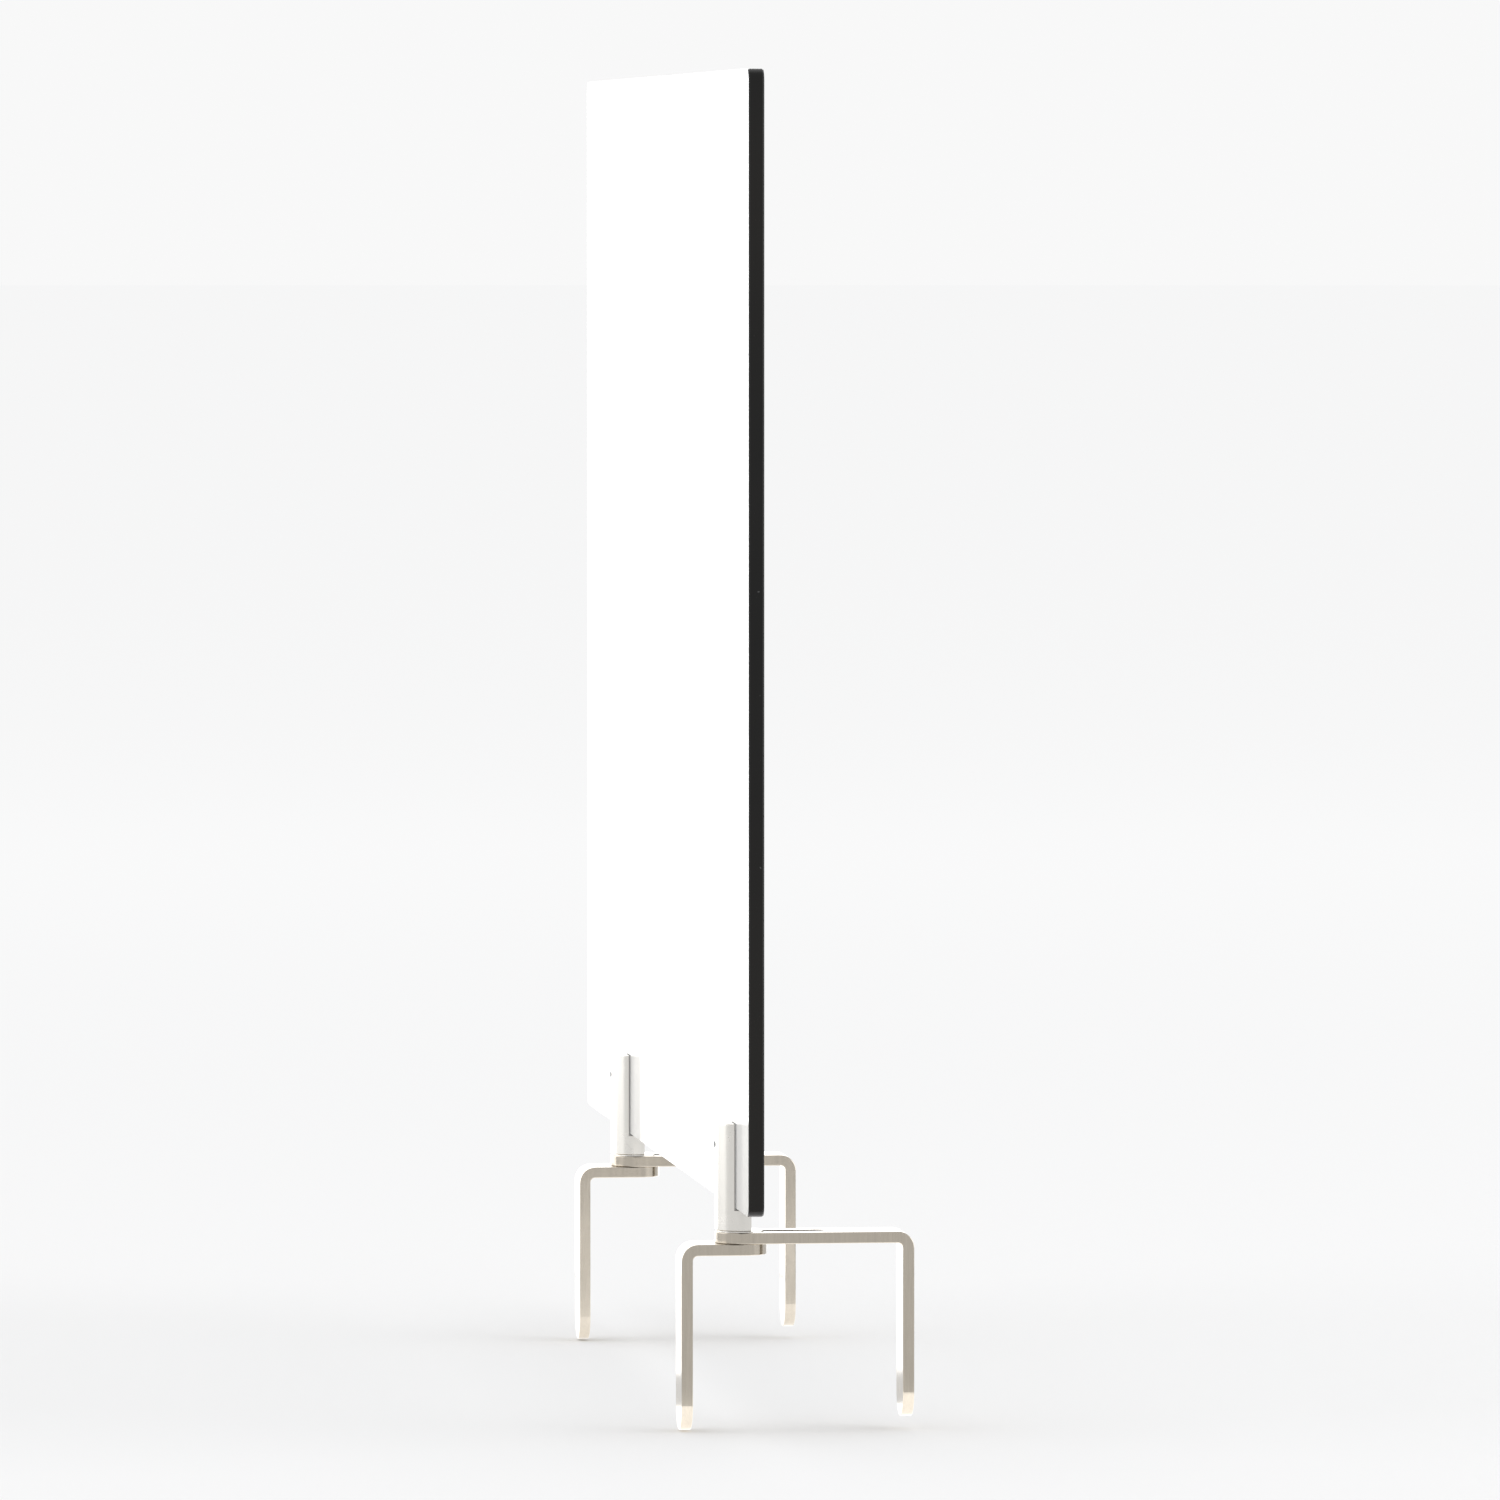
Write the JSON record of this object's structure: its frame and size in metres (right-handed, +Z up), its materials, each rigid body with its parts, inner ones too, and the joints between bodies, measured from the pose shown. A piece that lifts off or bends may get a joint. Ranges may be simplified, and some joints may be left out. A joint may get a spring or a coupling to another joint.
{
  "type": "desk privacy panel",
  "caption": "Rectangular white privacy panel with black edges, held by two flat-backed round posts on saddle clamps that straddle a desk partition.",
  "frame": {"origin": "on the top edge of the partition that the clamps sit on, under the middle of the panel's length and thickness", "axes": "+X along the panel's length, towards the clamp nearer its end; +Y across its thickness, towards the longer slotted arms; +Z up"},
  "size_m": [0.6096, 0.0943, 0.5469],
  "materials": {
    "black_core": "polished black compact laminate core",
    "white_laminate": "glossy white decor layer",
    "satin_nickel_post": "satin nickel, fine turning marks",
    "brushed_nickel_arm": "brushed warm nickel",
    "gasket_rubber": "thin grey rubber sheet",
    "washer_steel": "plain bright washer",
    "black_steel": "black oxide",
    "bolt_steel": "bright zinc plate"
  },
  "bodies": {
    "panel": {"panel_core": "black_core", "front_skin": "white_laminate", "rear_skin": "white_laminate", "near_post": "satin_nickel_post", "near_gasket": "gasket_rubber", "near_panel_screw": "black_steel", "near_slot_washer": "washer_steel", "far_post": "satin_nickel_post", "far_gasket": "gasket_rubber", "far_panel_screw": "black_steel", "far_slot_washer": "washer_steel"},
    "near_foot": {"near_lower_arm": "brushed_nickel_arm"},
    "near_arm": {"near_upper_arm": "brushed_nickel_arm"},
    "near_bolt": {"near_clamp_bolt": "bolt_steel"},
    "far_foot": {"far_lower_arm": "brushed_nickel_arm"},
    "far_arm": {"far_upper_arm": "brushed_nickel_arm"},
    "far_bolt": {"far_clamp_bolt": "bolt_steel"}
  },
  "joints": [
    {"name": "near_foot_swivel", "type": "hinge", "parent": "panel", "child": "near_foot", "pos_m": [0.2512, 0, 0], "axis": [0, 0, 1], "range_deg": [-90, 90]},
    {"name": "near_arm_slide", "type": "slide", "parent": "near_foot", "child": "near_arm", "axis": [0, 1, 0], "range_m": [-0.0309, 0]},
    {"name": "near_bolt_turn", "type": "hinge", "parent": "panel", "child": "near_bolt", "pos_m": [0.2512, 0, 0.0002], "axis": [0, 0, 1], "range_deg": [-180, 0]},
    {"name": "far_foot_swivel", "type": "hinge", "parent": "panel", "child": "far_foot", "pos_m": [-0.14, 0, 0], "axis": [0, 0, 1], "range_deg": [-90, 90]},
    {"name": "far_arm_slide", "type": "slide", "parent": "far_foot", "child": "far_arm", "axis": [0, 1, 0], "range_m": [-0.0309, 0]},
    {"name": "far_bolt_turn", "type": "hinge", "parent": "panel", "child": "far_bolt", "pos_m": [-0.14, 0, 0.0002], "axis": [0, 0, 1], "range_deg": [-180, 0]}
  ]
}
